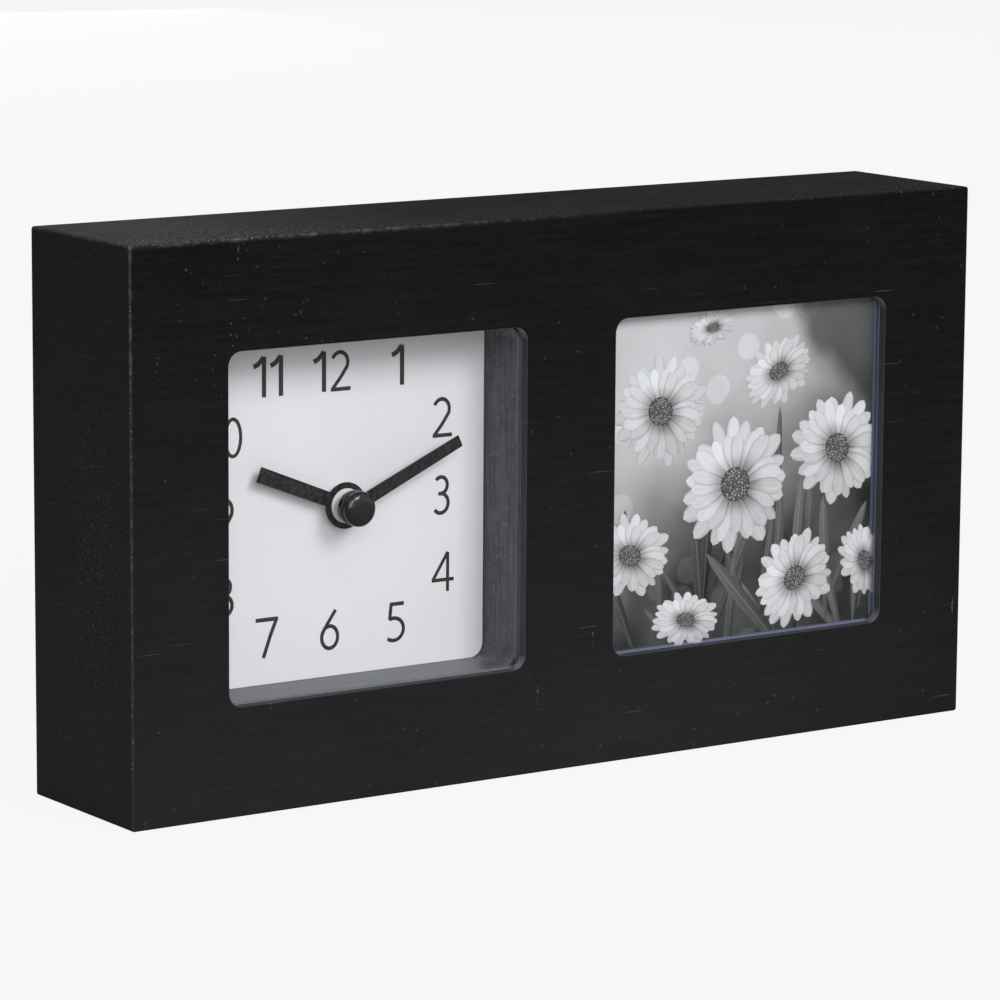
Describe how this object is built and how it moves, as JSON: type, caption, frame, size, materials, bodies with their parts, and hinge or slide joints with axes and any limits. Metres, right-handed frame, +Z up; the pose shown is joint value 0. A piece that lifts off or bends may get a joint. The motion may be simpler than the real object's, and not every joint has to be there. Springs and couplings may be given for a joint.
{
  "type": "photo frame clock",
  "caption": "Free-standing box frame with a recessed quartz clock behind one window and a square photograph behind the other.",
  "frame": {"origin": "middle of the underside of the box", "axes": "+X to the viewer's right, +Y from the front face to the back, +Z up"},
  "size_m": [0.206, 0.038, 0.114],
  "materials": {
    "black_paint": "satin black paint on fibreboard",
    "bare_board": "matt black stained fibreboard",
    "clear_pane": "clear, polished",
    "white_card": "matt printed card",
    "print_paper": "semi-gloss photographic paper",
    "foam": "closed-cell foam",
    "black_plastic": "moulded, fine spark texture",
    "cap_plastic": "moulded, glossy",
    "white_plastic": "natural acetal",
    "hand_paint": "satin black lacquer",
    "plated_steel": "zinc or nickel plated",
    "soft_iron": "blanked",
    "magnet": "sintered",
    "copper": "enamelled wire",
    "circuit": "laminate with solder mask",
    "epoxy": "potting resin",
    "cell": "printed film sleeve, plain"
  },
  "bodies": {
    "case": {"front_panel": "black_paint", "top_rail": "black_paint", "bottom_rail": "black_paint", "left_stile": "black_paint", "right_stile": "black_paint", "centre_divider": "bare_board", "back_panel": "bare_board", "back_panel_screws": "plated_steel", "clock_glass": "clear_pane", "dial_spacer": "black_paint", "dial_card": "white_card", "dial_board": "bare_board", "photo_glass": "clear_pane", "photo_liner": "bare_board", "photo_print": "print_paper", "photo_backing": "bare_board", "turn_button_screws": "plated_steel", "movement_pad": "foam", "movement_case": "black_plastic", "movement_cover": "black_plastic", "train_bridge": "white_plastic", "stator": "soft_iron", "coil_core": "soft_iron", "coil_bobbin": "black_plastic", "coil_winding": "copper", "circuit_board": "circuit", "quartz_crystal": "plated_steel", "controller_chip": "epoxy", "contact_plus": "plated_steel", "contact_minus": "plated_steel"},
    "minute": {"minute_pipe": "white_plastic", "minute_hand": "hand_paint", "hand_cap": "cap_plastic"},
    "hour": {"hour_wheel": "white_plastic", "hour_bush": "white_plastic", "hour_hand": "hand_paint"},
    "motion_work": {"motion_wheel": "white_plastic"},
    "setting": {"set_stem": "black_plastic", "set_knob": "black_plastic"},
    "rotor": {"rotor_pinion": "white_plastic", "rotor_magnet": "magnet"},
    "transfer": {"transfer_wheel": "white_plastic"},
    "seconds": {"seconds_wheel": "white_plastic"},
    "third": {"third_wheel": "white_plastic"},
    "centre": {"centre_wheel": "white_plastic"},
    "button_1": {"turn_button_1": "plated_steel"},
    "button_2": {"turn_button_2": "plated_steel"},
    "button_3": {"turn_button_3": "plated_steel"},
    "button_4": {"turn_button_4": "plated_steel"},
    "cell": {"battery": "cell"}
  },
  "joints": [
    {"name": "minute_turn", "type": "hinge", "parent": "case", "child": "minute", "pos_m": [-0.046, -0.0088, 0.057], "axis": [0, 1, 0], "continuous": true},
    {"name": "hour_turn", "type": "hinge", "parent": "case", "child": "hour", "pos_m": [-0.046, -0.006, 0.057], "axis": [0, 1, 0], "continuous": true},
    {"name": "motion_turn", "type": "hinge", "parent": "case", "child": "motion_work", "pos_m": [-0.04887, 0.0026, 0.06489], "axis": [0, 1, 0], "continuous": true},
    {"name": "set_knob_turn", "type": "hinge", "parent": "case", "child": "setting", "pos_m": [-0.04108, 0.0156, 0.06939], "axis": [0, 1, 0], "continuous": true},
    {"name": "rotor_turn", "type": "hinge", "parent": "case", "child": "rotor", "pos_m": [-0.03475, 0.0076, 0.0505], "axis": [0, 1, 0], "continuous": true},
    {"name": "transfer_turn", "type": "hinge", "parent": "case", "child": "transfer", "pos_m": [-0.03997, 0.0086, 0.05352], "axis": [0, 1, 0], "continuous": true},
    {"name": "seconds_turn", "type": "hinge", "parent": "case", "child": "seconds", "pos_m": [-0.046, 0.0076, 0.057], "axis": [0, 1, 0], "continuous": true},
    {"name": "third_turn", "type": "hinge", "parent": "case", "child": "third", "pos_m": [-0.05679, 0.0056, 0.057], "axis": [0, 1, 0], "continuous": true},
    {"name": "centre_turn", "type": "hinge", "parent": "case", "child": "centre", "pos_m": [-0.046, 0.0036, 0.057], "axis": [0, 1, 0], "continuous": true},
    {"name": "turn_button_1_swing", "type": "hinge", "parent": "case", "child": "button_1", "pos_m": [0.022, -0.01125, 0.0159], "axis": [0, 1, 0], "range_deg": [-90, 90]},
    {"name": "turn_button_2_swing", "type": "hinge", "parent": "case", "child": "button_2", "pos_m": [0.07, -0.01125, 0.0159], "axis": [0, 1, 0], "range_deg": [-90, 90]},
    {"name": "turn_button_3_swing", "type": "hinge", "parent": "case", "child": "button_3", "pos_m": [0.022, -0.01125, 0.0981], "axis": [0, 1, 0], "range_deg": [-90, 90]},
    {"name": "turn_button_4_swing", "type": "hinge", "parent": "case", "child": "button_4", "pos_m": [0.07, -0.01125, 0.0981], "axis": [0, 1, 0], "range_deg": [-90, 90]},
    {"name": "battery_slide", "type": "slide", "parent": "case", "child": "cell", "axis": [0, 1, 0], "range_m": [0, 0.016]}
  ],
  "couplings": [
    {"joint": "hour_turn", "follows": "minute_turn", "ratio": 0.083333},
    {"joint": "motion_turn", "follows": "minute_turn", "ratio": -0.33333},
    {"joint": "set_knob_turn", "follows": "minute_turn", "ratio": 0.77778},
    {"joint": "transfer_turn", "follows": "rotor_turn", "ratio": -0.2},
    {"joint": "seconds_turn", "follows": "rotor_turn", "ratio": 0.033333},
    {"joint": "third_turn", "follows": "rotor_turn", "ratio": -0.0044444},
    {"joint": "centre_turn", "follows": "rotor_turn", "ratio": 0.00055556}
  ]
}
